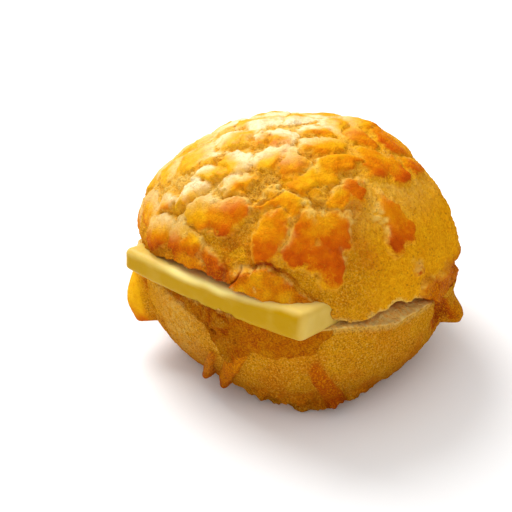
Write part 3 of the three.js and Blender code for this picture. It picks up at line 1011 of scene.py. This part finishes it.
def crown_fields(form, points, directions, share):
    """What the crown's colours and gloss come from, at each point."""
    bearing = bearing_of(directions)
    rise = rise_of(directions)
    facing = directions @ LIT_SIDE
    above = points[:, 2] - crown_edge(points[:, 0], points[:, 1])
    patches = noise_sum("patches", points)
    edge = form.edge
    up = form.up
    lumps = form.lumps
    grain = form.grain
    cut = 1 - share
    lit = span("lit", facing)
    on_flap = span("on_flap", form.flap)
    low_left = span("edge_left", -bearing) * span("edge_end", bearing) * (1 - span("edge_top", above))
    corner = span("corner_start", bearing) * (1 - span("corner_end", bearing))
    corner *= 1 - span("corner_top", rise + CORNER.wander * patches)

    fade = GLAZE.fade + GLAZE.lower_fade * span("lower_half", -up) * (1 - form.scaly)
    glaze = GLAZE.full * smoothstep(edge, 0, fade) * varied("plate_glaze", lumps)
    # Stains of glaze in the bare dough are kept off the lit side, so that it stays pale as painted
    # light
    bare = (1 - span("bare_end", bearing)) * (1 - GLAZE.lit_bare * lit)
    stain = bare * span("stain", layered_noise("stain", points)) * GLAZE.stain
    glaze = np.maximum.reduce([glaze, stain, corner * varied("corner_glaze", patches)])
    glaze = np.maximum(glaze * (1 - on_flap), on_flap * varied("flap_glaze", patches))
    # The crown's cut underside takes full glaze in place of crumb: painted shade in the slit
    glaze = share * np.maximum(glaze + GLAZE.low_left * low_left, form.crack) + cut

    # Painted highlight: a pale cream sheen painted on the plate tops that face the lit side
    frost = span("highlight_facing", facing) * span("highlight_edge", edge)
    frost *= span("highlight_up", up + HIGHLIGHT_LUMPS * lumps) * varied("frost", grain)
    frost *= 1 - FAR_LEFT.less_frost * form.far_left

    # Tone deepens towards each plate's lower edge, partly the glaze's own colour and partly painted
    # light on the upper parts; it is lighter on the lit side and yellower on the upper left, also
    # painted light
    tone = form.tone - (TONE.tilt + TONE.scaly_tilt * form.scaly) * up + TONE.lumps * lumps
    tone = tone - TONE.lit * lit
    tone = tone - TONE.gold * span("gold_left", -bearing) * span("gold_rise", rise)
    # The tone is yellower under the painted highlight
    tone = tone * (1 - TONE.frost * np.clip(frost, 0, 1))
    tone = blend(tone, FLAP.tone + TONE.flap_patches * patches, on_flap)
    tone = blend(tone, CORNER.tone + CORNER.patches * patches, corner)
    # The crack above the flap and the crown's lower-left edge over the butter are deeper and redder:
    # more glaze there, and a darker tone that is painted shade
    tone = tone + TONE.low_left * low_left + TONE.crack * form.crack
    # Painted shade: the cut underside is a deep red-brown instead of pale crumb
    tone = blend(tone, TONE.cut, cut)

    # Pale crumbly rims round the plates are the topping's own colour; making them wider and paler on
    # the upper edges, and pale in the valleys on the lit side and high on the crown, is painted light
    upper = span("upper_half", up)
    rim = bell(edge - RIM.middle, RIM.spread + RIM.upper_spread * upper) * varied("rim", grain)
    rim *= (RIM.lower + RIM.upper * upper) * (1 - on_flap) * (1 - RIM.calm * form.calm)
    valley = (1 - span("valley", edge)) * varied("valley", grain)
    rim += (RIM.lit_valley * lit + RIM.high_valley * span("high_valley", rise)) * valley
    rim += band("flap_rim", form.flap) * varied("flap_rim", grain) * span("flap_rim", bearing)
    rim += on_flap * (1 - span("flap_cracks", form.facets)) * RIM.flap_cracks
    right = 1 - span("right_edge", np.abs(turn_between(RIGHT_EDGE_BEARING, bearing)))
    rim += right * (1 - span("edge_crumbs", above + CRUMB_WANDER * grain)) * RIM.right_edge
    rim *= (1 - corner) * (1 - RIM.low_left * low_left)

    front = (1 - span("front_end", bearing)) * (1 - lit)
    shades = [
        CROWN_SHADE.left * span("shade_left", -bearing) * (1 - span("shade_top", rise)),
        CROWN_SHADE.front * front * (1 - span("front_edge", edge)),
        CROWN_SHADE.low_left * low_left,
        CROWN_SHADE.flap * on_flap,
        CROWN_SHADE.corner * corner,
    ]
    return {
        "glaze": np.clip(glaze, 0, GLAZE.full),
        "tone": np.clip(tone, 0, 1),
        "rim": np.clip(share * rim, 0, 1),
        "crumb": np.zeros(len(points)),
        "frost": share * frost,
        "shine": CROWN_SHINE.glaze * glaze + lit * (CROWN_SHINE.lit + CROWN_SHINE.lit_glaze * glaze),
        "shade": np.maximum.reduce(shades),
    }


# Heel

# Heights of the small forms, in millimetres
HEEL_HEIGHTS = Values(
    lumps=0.25,
    streaks=0.15,
    grain=0.22,
    less_grain=0.12,
    flakes=1.3,
    pale_streaks=0.3,
    crease=1.5,
)
FLAKE_LEVEL = 0.5
DRIP = Values(top=0.35, swell=0.65, foot_tone=0.25)
LEAST_SHARE = 0.1
CREASE_SPREAD = 1.2
BASE_GRAIN = 0.25
# Amounts that make up the fields of the heel's colours
TORN_CRUST = Values(tone=0.4, bare=0.3, bare_tops=0.5)
TOAST = Values(high=0.42, low=0.4)
HEEL_TONE = Values(bare=0.5, left=0.2, crease=0.5, inside=0.9)
HEEL_RIM = 0.75
PAINTED_CREASE_SHADE = 0.8
HEEL_SHINE = 0.005
HEEL_SHADE = Values(high=0.46, low=0.54, sheet=0.4, torn=0.25, left=0.12, fold=0.45)


def sheet_depth(directions, skin):
    """Millimetres inside the edge of the sheet of glaze."""
    bearing = bearing_of(directions) + noise_sum("sheet_bearing", skin)
    inside = rise_of(directions) - rise_along(SHEET_EDGE, bearing, FAR_AWAY)
    return inside * SKIN_DEGREE + noise_sum("sheet_edge", skin)


def ridge(away, half_width):
    return np.sqrt(np.clip(1 - (away / half_width) ** 2, 0, 1))


def tongue_share(tongue, directions):
    """How far a fold stands out, from 0 to 1."""
    rise = rise_of(directions)
    side = turn_between(tongue.bearing, bearing_of(directions)) * SKIN_DEGREE
    bottom = tongue.bottom + TONGUE_POINT * np.clip(side / tongue.half_width, -1, 1) ** 2
    hang = smoothstep(rise, bottom, bottom + TONGUE_CURL)
    hang *= 1 - smoothstep(rise, tongue.belly, tongue.top)
    return hang * ridge(side, tongue.half_width)


def hollow_share(directions, skin):
    """How deep the hollow beside the right fold is, from 0 to 1."""
    rise = rise_of(directions)
    wander = noise_sum("hollow", skin)
    share = bell(turn_between(HOLLOW.bearing, bearing_of(directions) + wander), HOLLOW.spread)
    bottom = HOLLOW.bottom
    share *= smoothstep(rise + HOLLOW.wander * wander, bottom, bottom + HOLLOW.bottom_soft)
    return share * (1 - smoothstep(rise - wander, HOLLOW.top - HOLLOW.top_soft, HOLLOW.top))


def heel_form(directions):
    """Glaze, folds and creases over the dough, and the fields that their colours come from."""
    skin = directions * DOUGH.radius
    rise = rise_of(directions)
    bearing = bearing_of(directions)
    lumps = layered_noise("heel_lumps", skin)
    streaks = layered_noise("streaks", skin * UPRIGHT)
    grain = layered_noise("heel_grain", skin)
    flakes = layered_noise("flakes", skin, creased=True)
    crease = np.min([route_distance(route, directions) / half for route, half in CREASES], axis=0)
    crease = crease + noise_sum("crease", skin)
    depth = sheet_depth(directions, skin)
    sheet = smoothstep(depth, 0, SHEET.soft)
    torn = sheet * (1 - span("torn_end", bearing))
    pale = bell(turn_between(PALE.bearing, bearing), PALE.spread)
    pale = pale * (1 - sheet) * (1 - span("pale_low", -rise))

    tone = SHEET.tone + SHEET.lumps * lumps + SHEET.streaks * streaks
    # Painted shade: the sheet deepens away from its lower edge, towards the butter above it
    tone = tone + SHEET.deepen * span("sheet_deep", depth)
    bead = np.zeros(len(directions))
    for route, top_width, foot_width, thick, drip_tone in DRIPS:
        down = np.clip((route[0][1] - rise) / (route[0][1] - route[-1][1]), 0, 1)
        half_width = top_width + (foot_width - top_width) * down
        away = route_distance(route, directions) + noise_sum("drip", skin)
        swell = thick * (DRIP.top + DRIP.swell * down) * ridge(away, half_width)
        tone = np.where(swell > bead, drip_tone + DRIP.foot_tone * span("drip_low", -rise), tone)
        bead = np.maximum(bead, swell)

    left = tongue_share(LEFT_TONGUE, directions)
    right = tongue_share(RIGHT_TONGUE, directions)
    fold_low = LEFT_TONGUE.bottom + TONGUE_FOOT.below
    fold_foot = 1 - smoothstep(rise, fold_low, LEFT_TONGUE.belly + TONGUE_FOOT.above)
    hollow = hollow_share(directions, skin)
    inner = span("fold_inner", turn_between(bearing, RIGHT_TONGUE.bearing))
    fold = span("left_fold", left)
    right_fold = span("right_fold", right)
    shares = [sheet, np.clip(bead, 0, 1), fold, right_fold, span("hollow_glaze", hollow)]
    glaze = np.maximum.reduce(shares)
    tone = np.where(left > LEAST_SHARE, TONGUE_FOOT.tone * fold_foot, tone)
    tone = np.where(right > LEAST_SHARE, RIGHT_TONGUE_TONE, tone)
    # Painted shade: the hollow's inner side darkens to a deep red-brown
    tone = tone + span("hollow_tone", hollow) * (HOLLOW.tone - tone) * inner
    # Painted shade: the gaps between torn flakes are a deeper tone
    tone = tone + TORN_CRUST.tone * torn * (1 - span("flake_gaps", flakes))

    high = HEEL_HEIGHTS
    foot = bell(turn_between(FLANGE.bearing, bearing), FLANGE.spread)
    foot = foot * (1 - smoothstep(rise, FLANGE.rise - FLANGE.soft, FLANGE.rise))
    relief = layer_height(directions) + np.maximum(SHEET.thick * sheet, bead)
    relief += LEFT_TONGUE.thick * left + RIGHT_TONGUE.thick * right
    relief += FLANGE.thick * foot * varied("foot", layered_noise("foot", skin))
    grain_height = high.grain - high.less_grain * glaze
    relief += high.lumps * lumps + high.streaks * sheet * streaks + grain_height * grain
    small = high.flakes * torn * (flakes - FLAKE_LEVEL) + high.pale_streaks * pale * streaks
    relief += small - high.crease * bell(crease, 1) - HOLLOW.depth * hollow
    bare_flakes = TORN_CRUST.bare + TORN_CRUST.bare_tops * span("flake_tops", flakes)
    return Values(
        relief=relief,
        glaze=glaze * (1 - torn * bare_flakes),
        tone=tone,
        lumps=lumps,
        grain=grain,
        crease=crease,
        sheet=sheet,
        torn=torn,
        pale=pale,
        fold=fold,
    )


def heel_object():
    heel = base_ball("bun_heel", heel_form, unmoved)
    cut_away(heel, slit_tool(1, heel_top, unmoved))
    cut_away(heel, butter_tool())
    cut_away(heel, object_from("ground", *ground_block()))
    finish_mesh(heel, HEEL_GRAIN, shape_heel)
    return heel


def ground_block():
    half = TOOL_SIZE / 2
    points = [(x, y, z) for z in (-TOOL_SIZE, 0) for y in (-half, half) for x in (-half, half)]
    faces = [[0, 2, 3, 1], [4, 5, 7, 6], [0, 1, 5, 4], [2, 6, 7, 3], [0, 4, 6, 2], [1, 3, 7, 5]]
    return np.array(points), faces


def shape_heel(mesh):
    """Gives the heel its glaze, creases and crumbs, and the fields that its material reads."""
    normals = read_vectors(mesh.vertex_normals, "vector")
    points = read_vectors(mesh.vertices, "co") / MM
    x, y, z = points.T
    out = points - MIDDLE
    directions = out / np.linalg.norm(out, axis=1)[:, None]
    form = heel_form(directions)
    radius = dough_radius(directions) + form.relief
    grain = form.grain
    under_rim = heel_top(x, y) - z
    share = surface_share(points, normals, radius) * span("heel_foot", z)
    share *= span("heel_rim", under_rim)
    cut = (1 - share) * span("face_up", normals[:, 2])
    base = (1 - share) * (1 - cut)
    rough = cut * span("rough_cut", np.hypot(x, y)) * torn_crumb(points, grain, HEEL_PORES)
    rough += base * span("rough_base", z) * (noise_sum("base", points) + BASE_GRAIN * grain)
    moved = points + normals * rough[:, None]
    moved += share[:, None] * (at_radius(directions, radius) - points)
    moved[:, 2] = np.maximum(moved[:, 2], 0)
    store_points(mesh, moved)

    bearing = bearing_of(directions)
    low = span("heel_low", -rise_of(directions))
    far_left = span("heel_left", -bearing)
    # Creases are darkened with glaze and a deeper tone: painted shade
    crease = bell(form.crease, CREASE_SPREAD) * share
    # The heel's cut face deep in the slot and at its right end is painted dark red-brown glaze as
    # painted shade; the rest of the cut shows as crumb
    inside = np.maximum(1 - span("crumb_reach", np.hypot(x, y)), span("right_end", bearing))
    inside = cut * inside
    open_crumb = cut - inside
    toast = (TOAST.high + TOAST.low * low) * span("toast", layered_noise("toast", points))
    glaze = share * np.maximum(form.glaze * varied("heel_glaze", form.lumps), toast)
    glaze = np.maximum.reduce([glaze, PAINTED_CREASE_SHADE * crease, inside])
    bare_tone = HEEL_TONE.bare - HEEL_TONE.left * far_left
    tone = np.where(form.glaze > LEAST_SHARE, form.tone, bare_tone) + HEEL_TONE.crease * crease
    # Painted shade: the cut face deep in the slot darkens to a deep red-brown
    tone = tone + inside * (HEEL_TONE.inside - tone)
    rim = share * (1 - span("rim_crumbs", under_rim + CRUMB_WANDER * grain))
    rim *= HEEL_RIM * (1 - form.glaze)
    rim *= 1 - span("right_end", bearing)
    rim = rim + share * form.pale * varied("pale", grain)
    shade = HEEL_SHADE.high + HEEL_SHADE.low * low + HEEL_SHADE.sheet * form.sheet
    shade = shade + HEEL_SHADE.torn * form.torn - HEEL_SHADE.left * far_left * (1 - low)
    shade = shade - HEEL_SHADE.fold * form.fold
    store_fields(mesh, {
        "glaze": glaze,
        "tone": np.clip(tone, 0, 1),
        "rim": np.clip(rim, 0, 1),
        "crumb": open_crumb,
        "frost": np.zeros(len(points)),
        "shine": HEEL_SHINE * glaze,
        "shade": np.clip(shade, 0, 1) * (1 - open_crumb),
    })


def butter_object():
    points, faces = rounded_slab(0, SLAB_STEP)
    half = np.array([BUTTER.length, BUTTER.width, BUTTER.thick]) / 2
    out = (points - half * np.array([0, 1, 1])) / half
    x = out[:, 0]
    z = out[:, 2]
    dents = BUTTER_DENTS * layered_noise("butter", points) + noise_sum("butter", points)
    # Painted light: the top face is paler, most in the middle under the crown's shade, and the ends and
    # the bottom edge are paler too
    top = span("butter_top", z + noise_sum("butter_top", points) - BUTTER_PAINTED_LIGHT.lean * x)
    top *= (
        BUTTER_PAINTED_LIGHT.left
        + (1 - BUTTER_PAINTED_LIGHT.left) * span("pale_start", x)
        - BUTTER_PAINTED_LIGHT.right_drop * span("pale_end", x)
    )
    end = span("butter_end", np.abs(x)) * np.where(x < 0, *BUTTER_PAINTED_LIGHT.ends)
    foot = BUTTER_PAINTED_LIGHT.foot * span("butter_foot", -z)
    butter = object_from("butter_slab", butter_place(points - np.abs(dents)[:, None] * out), faces)
    store_fields(butter.data, {"pale": np.maximum.reduce([top, end, foot])})
    butter.data.shade_smooth()
    return butter


# Materials


# Noises of the materials: lump size in millimetres, detail and roughness
NODE_NOISES = {
    "speckle": (0.55, 2, 0.6),
    "fine": (1.1, 3, 0.6),
    "mottle": (6, 3, 0.55),
    "sand": (0.8, 2, 0.7),
    "warmth": (3, 3, 0.5),
    "crumb": (1.6, 4, 0.6),
    "pore_patches": (7, 2, 0.5),
    "butter_streaks": (9, 3, 0.5),
    "butter_gloss": (2, 2, 0.5),
    "butter_dents": (3, 3, 0.5),
    "floor": (60, 2, 0.5),
}
# Ranges of a value, each with the range that it is spread to
NODE_SPREADS = {
    "lightness": (0.95, 1.65, 0, 1),
    "warmth": (0.3, 0.7, -0.15, 0.15),
    "fine_edge": (0.3, 0.7, -0.2, 0.2),
    "speckle_edge": (0.3, 0.7, -0.1, 0.1),
    "glazed": (0.1, 1, 0, 1),
    "crumb": (0.35, 0.65, 0, 1),
    "freckle": (0.5, 0.25, 0, 1),
    "freckle_glaze": (0, 1, 0.14, 0.16),
    "frost": (0.3, 0.55, 0.65, 1),
    "pores": (0.14, 0.3, 0.45, 0),
    "pore_patches": (0.42, 0.6, 0, 1),
    "bare_pores": (0.25, 1, 1, 0),
    "grit": (0.1, 0.5, 0, 1),
    "bare_grit": (0.3, 0.9, 1, 0),
    "dark_grit": (0.5, 0.3, 0, 0.7),
    "light_grit": (0.5, 0.66, 0, 0.6),
    "pale_grit": (0.54, 0.72, 0, 0.6),
    "tooth": (0, 1, 0.7, 0.45),
    "fine_tooth": (0, 1, 1, 0.6),
    "roughness": (0, 1, 0.7, 0.4),
    "butter_streaks": (0.3, 0.7, -0.08, 0.08),
    "butter_gloss": (0.3, 0.7, 0.3, 0.45),
}
SAND_SHARE = 1.6
RIM_SHARE = 0.85
PORE_SIZE = 1.5
CRUST_BUMP = 0.8
BUTTER_BUMP = 0.25
BUTTER_GLOW = 2.5

DOUGH_DEEP = (0.77, 0.275, 0.003, 1)
DOUGH_LIGHT = (0.97, 0.465, 0.008, 1)
CREAM = (0.97, 0.68, 0.17, 1)
# The colour of the painted highlight on the lit plate tops
PAINTED_HIGHLIGHT = (0.97, 0.85, 0.52, 1)
CRUMB_DEEP = (1.0, 0.55, 0.1, 1)
CRUMB_LIGHT = (1.0, 0.74, 0.24, 1)
GLAZE_STOPS = [
    (0.0, (0.92, 0.45, 0.006, 1)),
    (0.35, (0.76, 0.235, 0.002, 1)),
    (0.6, (0.66, 0.14, 0.0015, 1)),
    (0.8, (0.58, 0.088, 0.0015, 1)),
    (1.0, (0.42, 0.05, 0.002, 1)),
]
FRECKLE = (0.5, 0.18, 0.01, 1)
SHADE = (0.52, 0.43, 0.4, 1)
PORE = (0.3, 0.1, 0.01, 1)
BUTTER_DEEP = (0.51, 0.28, 0.001, 1)
# The colour that the butter's painted light goes to
BUTTER_LIT = (1.0, 0.82, 0.28, 1)
FLOOR_DEEP = (0.9, 0.9, 0.9, 1)
FLOOR_LIGHT = (0.93, 0.93, 0.93, 1)


class Nodes:
    """A material's nodes, added and linked in plain calls."""

    def __init__(self, name):
        self.material = bpy.data.materials.new(name)
        self.material.use_nodes = True
        self.tree = self.material.node_tree
        self.shader = self.tree.nodes["Principled BSDF"]
        self.coordinates = self.tree.nodes.new("ShaderNodeTexCoord").outputs["Object"]

    def feed(self, node, inputs):
        for name, value in inputs.items():
            socket = node.inputs[name]
            if isinstance(value, bpy.types.NodeSocket):
                self.tree.links.new(value, socket)
            else:
                socket.default_value = value

    def add(self, kind, output, inputs, **settings):
        """Adds a node with its settings and inputs, and gives one of its outputs."""
        node = self.tree.nodes.new("ShaderNode" + kind)
        for name, value in settings.items():
            setattr(node, name, value)
        self.feed(node, inputs)
        return node.outputs[output]

    def noise(self, name):
        """One of the named noises, from 0 to 1."""
        size, detail, roughness = NODE_NOISES[name]
        place = {"Vector": self.coordinates, "Scale": 1 / (size * MM)}
        return self.add("TexNoise", "Fac", {**place, "Detail": detail, "Roughness": roughness})

    def cells(self, size):
        """Distance to the nearest of points about size millimetres apart, in sizes."""
        place = {"Vector": self.coordinates, "Scale": 1 / (size * MM)}
        return self.add("TexVoronoi", "Distance", place)

    def field(self, name):
        return self.add("Attribute", "Fac", {}, attribute_name=name)

    def plus(self, first, second):
        return self.add("Math", 0, {0: first, 1: second}, operation="ADD")

    def times(self, first, second):
        return self.add("Math", 0, {0: first, 1: second}, operation="MULTIPLY")

    def spread(self, name, value):
        limits = zip(("From Min", "From Max", "To Min", "To Max"), NODE_SPREADS[name])
        return self.add("MapRange", "Result", {"Value": value, **dict(limits)})

    def mix(self, share, first, second, blend="MIX"):
        inputs = {0: share, 6: first, 7: second}
        return self.add("Mix", 2, inputs, data_type="RGBA", blend_type=blend)

    def ramp(self, value, stops):
        node = self.tree.nodes.new("ShaderNodeValToRGB")
        elements = node.color_ramp.elements
        while len(elements) < len(stops):
            elements.new(0.5)
        for element, (place, colour) in zip(elements, stops):
            element.position = place
            element.color = colour
        self.feed(node, {"Fac": value})
        return node.outputs["Color"]

    def bump(self, height, distance):
        return self.add("Bump", "Normal", {"Height": height, "Distance": distance * MM})


def crust_material():
    nodes = Nodes("crust")
    glaze = nodes.field("glaze")
    shade = nodes.field("shade")
    speckle = nodes.noise("speckle")
    fine = nodes.noise("fine")
    sand = nodes.times(nodes.noise("sand"), SAND_SHARE)
    lightness = nodes.spread("lightness", nodes.plus(nodes.noise("mottle"), sand))
    dough = nodes.mix(lightness, DOUGH_DEEP, DOUGH_LIGHT)
    warmth = nodes.plus(nodes.field("tone"), nodes.spread("warmth", nodes.noise("warmth")))
    ragged_glaze = nodes.plus(glaze, nodes.spread("fine_edge", fine))
    ragged_glaze = nodes.plus(ragged_glaze, nodes.spread("speckle_edge", speckle))
    colour = nodes.mix(nodes.spread("glazed", ragged_glaze), dough, nodes.ramp(warmth, GLAZE_STOPS))
    colour = nodes.mix(nodes.times(nodes.field("rim"), RIM_SHARE), colour, CREAM)
    crumb = nodes.mix(nodes.spread("crumb", nodes.noise("crumb")), CRUMB_DEEP, CRUMB_LIGHT)
    colour = nodes.mix(nodes.field("crumb"), colour, crumb)
    freckle = nodes.times(nodes.spread("freckle", speckle), nodes.spread("freckle_glaze", glaze))
    colour = nodes.mix(freckle, colour, FRECKLE)
    # Painted highlight on the lit plate tops
    frost = nodes.times(nodes.field("frost"), nodes.spread("frost", fine))
    colour = nodes.mix(frost, colour, PAINTED_HIGHLIGHT)
    patches = nodes.spread("pore_patches", nodes.noise("pore_patches"))
    pores = nodes.times(nodes.spread("pores", nodes.cells(PORE_SIZE)), patches)
    colour = nodes.mix(nodes.times(pores, nodes.spread("bare_pores", glaze)), colour, PORE)
    grit = nodes.spread("grit", shade)
    bare_grit = nodes.times(grit, nodes.spread("bare_grit", glaze))
    for kind, amount, grain in (
        ("dark_grit", grit, PORE),
        ("light_grit", grit, DOUGH_LIGHT),
        ("pale_grit", bare_grit, CREAM),
    ):
        colour = nodes.mix(nodes.times(amount, nodes.spread(kind, speckle)), colour, grain)
    tooth = nodes.times(speckle, nodes.spread("tooth", glaze))
    fine_tooth = nodes.times(fine, nodes.spread("fine_tooth", glaze))
    nodes.feed(nodes.shader, {
        "Base Color": nodes.mix(shade, colour, SHADE, "MULTIPLY"),
        "Roughness": nodes.spread("roughness", glaze),
        "IOR": 1.12,
        "Specular IOR Level": 0.02,
        "Coat Weight": nodes.field("shine"),
        "Coat Roughness": 0.42,
        "Coat IOR": 1.8,
        "Normal": nodes.bump(nodes.plus(tooth, fine_tooth), CRUST_BUMP),
    })
    return nodes.material


def butter_material():
    nodes = Nodes("butter")
    streaks = nodes.spread("butter_streaks", nodes.noise("butter_streaks"))
    # The pale field is painted light on the butter
    pale = nodes.plus(nodes.field("pale"), streaks)
    nodes.feed(nodes.shader, {
        "Base Color": nodes.mix(pale, BUTTER_DEEP, BUTTER_LIT),
        "Roughness": nodes.spread("butter_gloss", nodes.noise("butter_gloss")),
        "IOR": 1.25,
        "Specular IOR Level": 0.1,
        "Subsurface Weight": 0.3,
        "Subsurface Radius": (1.0, 0.7, 0.15),
        "Subsurface Scale": BUTTER_GLOW * MM,
        "Coat Weight": 0.08,
        "Coat Roughness": 0.2,
        "Normal": nodes.bump(nodes.noise("butter_dents"), BUTTER_BUMP),
    })
    return nodes.material


def floor_material():
    nodes = Nodes("pale_floor")
    nodes.feed(nodes.shader, {
        "Base Color": nodes.mix(nodes.noise("floor"), FLOOR_DEEP, FLOOR_LIGHT),
        "Roughness": 0.7,
        "Specular IOR Level": 0.1,
    })
    return nodes.material


# Stage, light and camera

CAMERA = Values(azimuth=43, elevation=30, roll=-4.2, distance=400, focal_px=1174)
CAMERA_AIM = Values(aside=-12.5, height=35)
IMAGE_WIDTH = 512
SENSOR_WIDTH = 36
FLOOR_HALF = 2500
WINDOW = Values(place=(-600, 180, 780), size=700, power=9.2)
FILL = Values(place=(520, -620, 260), size=700, power=1.4)
SKY = Values(horizon=0.14, zenith=1.15)


def add_camera():
    azimuth = math.radians(CAMERA.azimuth)
    elevation = math.radians(CAMERA.elevation)
    ahead = -Vector((
        math.sin(azimuth) * math.cos(elevation),
        -math.cos(azimuth) * math.cos(elevation),
        math.sin(elevation),
    ))
    side = Vector((math.cos(azimuth), math.sin(azimuth), 0))
    up = side.cross(ahead)
    roll = math.radians(CAMERA.roll)
    right = math.cos(roll) * side + math.sin(roll) * up
    top = math.cos(roll) * up - math.sin(roll) * side
    aim = side * CAMERA_AIM.aside + Vector((0, 0, CAMERA_AIM.height))
    data = bpy.data.cameras.new("camera")
    data.sensor_width = SENSOR_WIDTH
    data.lens = CAMERA.focal_px / IMAGE_WIDTH * SENSOR_WIDTH
    camera = add_object("camera", data)
    turn = Matrix((right, top, -ahead)).transposed().to_4x4()
    camera.matrix_world = Matrix.Translation((aim - ahead * CAMERA.distance) * MM) @ turn
    bpy.context.scene.camera = camera


def add_floor():
    corners = [(-1, -1, 0), (1, -1, 0), (1, 1, 0), (-1, 1, 0)]
    floor = object_from("floor", np.array(corners) * FLOOR_HALF, [[0, 1, 2, 3]])
    floor.data.materials.append(floor_material())


def add_light(name, place, aim, size, power):
    data = bpy.data.lights.new(name, "AREA")
    data.shape = "DISK"
    data.size = size * MM
    data.energy = power
    light = add_object(name, data)
    place = Vector(place) * MM
    aim = Vector(aim) * MM
    turn = (aim - place).to_track_quat("-Z", "Y").to_matrix().to_4x4()
    light.matrix_world = Matrix.Translation(place) @ turn


def add_sky():
    """Soft white light from all round, brighter from above."""
    world = bpy.data.worlds.new("studio")
    world.use_nodes = True
    tree = world.node_tree
    place = tree.nodes.new("ShaderNodeTexCoord")
    split = tree.nodes.new("ShaderNodeSeparateXYZ")
    height = tree.nodes.new("ShaderNodeMapRange")
    tree.links.new(place.outputs["Generated"], split.inputs["Vector"])
    tree.links.new(split.outputs["Z"], height.inputs["Value"])
    height.inputs["To Min"].default_value = SKY.horizon
    height.inputs["To Max"].default_value = SKY.zenith
    background = tree.nodes["Background"]
    background.inputs["Color"].default_value = (1, 1, 1, 1)
    tree.links.new(height.outputs["Result"], background.inputs["Strength"])
    bpy.context.scene.world = world


def add_lights():
    for name, light in (("window", WINDOW), ("fill", FILL)):
        add_light(name, light.place, (0, 0, DOUGH.waist), light.size, light.power)
    add_sky()
    bpy.context.scene.view_settings.view_transform = "Standard"


# The part and its stage

add_camera()
add_lights()
add_floor()

crust = crust_material()
for piece in (crown_object(), heel_object()):
    piece.data.materials.clear()
    piece.data.materials.append(crust)
    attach(piece, "root")
    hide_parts("bun")

slab = butter_object()
slab.data.materials.append(butter_material())
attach(slab, "root")
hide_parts("butter")
